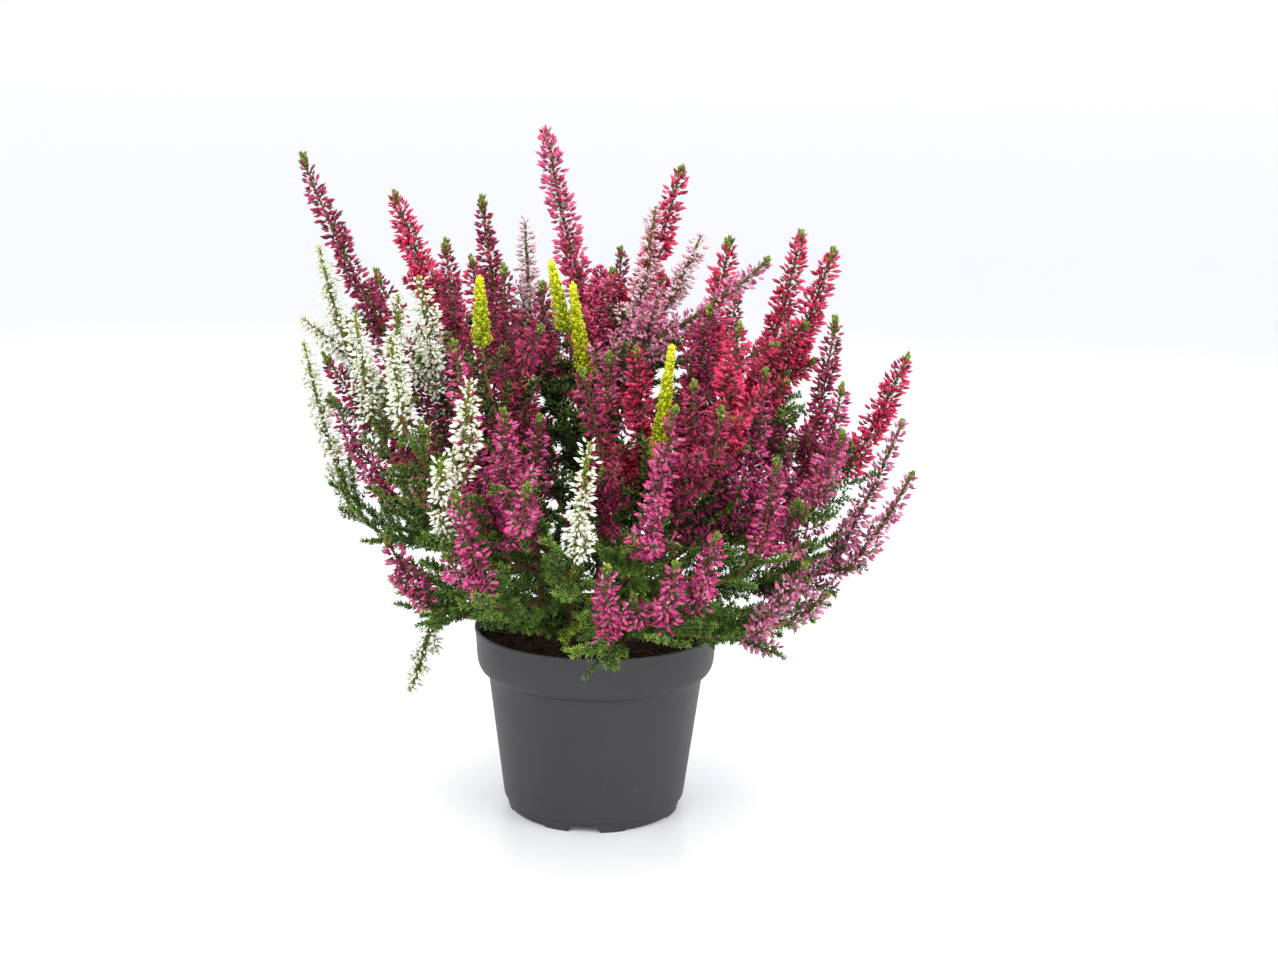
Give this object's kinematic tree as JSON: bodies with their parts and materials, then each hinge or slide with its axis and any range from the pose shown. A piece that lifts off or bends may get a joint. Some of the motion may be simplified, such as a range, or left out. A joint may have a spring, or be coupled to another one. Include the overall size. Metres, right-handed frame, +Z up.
{
  "type": "potted heather",
  "caption": "Bud-flowering heather in a grey nursery pot, with upright burgundy, magenta, crimson, pink, mauve and white bud sprays over green leafy stems.",
  "frame": {"origin": "centre of the pot's underside, on the surface it stands on", "axes": "+Z up; -Y towards the side the picture shows; +X to that side's right"},
  "size_m": [0.2929, 0.2568, 0.33],
  "materials": {
    "pot_plastic": "matt moulded grey plastic",
    "peat": "loose moist peat with wood fibre",
    "leafy_stem": "brown woody stems with fine green needles",
    "burgundy_buds": "closed papery buds, burgundy, with green tips",
    "magenta_buds": "closed papery buds, magenta, with green tips",
    "crimson_buds": "closed papery buds, crimson, with green tips",
    "pink_buds": "closed papery buds, pink, with green tips",
    "blush_buds": "closed papery buds, blush, with green tips",
    "mauve_buds": "closed papery buds, mauve, with green tips",
    "white_buds": "closed papery buds, white, with green tips",
    "gold_leaves": "fine yellow-green needles on soft shoots"
  },
  "bodies": {
    "root": {"pot": "pot_plastic", "soil": "peat", "leafy_stems_0": "leafy_stem", "leafy_stems_1": "leafy_stem", "leafy_stems_2": "leafy_stem", "leafy_stems_3": "leafy_stem", "leafy_stems_4": "leafy_stem", "leafy_stems_5": "leafy_stem", "leafy_stems_6": "leafy_stem", "burgundy_left": "burgundy_buds", "crimson_left": "crimson_buds", "burgundy_left_inner": "burgundy_buds", "burgundy_upper": "burgundy_buds", "burgundy_centre": "burgundy_buds", "blush_left": "blush_buds", "pink_tall": "pink_buds", "crimson_tall": "crimson_buds", "blush_right": "blush_buds", "crimson_right_inner": "crimson_buds", "mauve_arching": "mauve_buds", "burgundy_right_short": "burgundy_buds", "crimson_right": "crimson_buds", "burgundy_right": "burgundy_buds", "crimson_far_right": "crimson_buds", "magenta_right": "magenta_buds", "mauve_far_right": "mauve_buds", "crimson_front_right": "crimson_buds", "burgundy_front": "burgundy_buds", "crimson_front": "crimson_buds", "gold_right": "gold_leaves", "burgundy_front_right": "burgundy_buds", "magenta_front": "magenta_buds", "magenta_side": "magenta_buds", "gold_left": "gold_leaves", "gold_left_short": "gold_leaves", "white_left_high": "white_buds", "white_left_pair": "white_buds", "white_left_inner": "white_buds", "white_left_low": "white_buds", "white_far_left": "white_buds", "burgundy_far_left": "burgundy_buds", "magenta_left": "magenta_buds", "magenta_front_pair": "magenta_buds", "white_front_left": "white_buds", "white_front": "white_buds", "magenta_low_left": "magenta_buds", "magenta_drooping": "magenta_buds", "magenta_low_front": "magenta_buds", "magenta_low_pair": "magenta_buds", "magenta_low_right": "magenta_buds", "mauve_low_right": "mauve_buds", "white_hanging": "white_buds", "magenta_side_low": "magenta_buds", "burgundy_back": "burgundy_buds", "crimson_back_left": "crimson_buds", "magenta_back_left": "magenta_buds", "white_back": "white_buds", "burgundy_back_right": "burgundy_buds", "magenta_back_right": "magenta_buds", "crimson_back_low": "crimson_buds"}
  },
  "joints": []
}
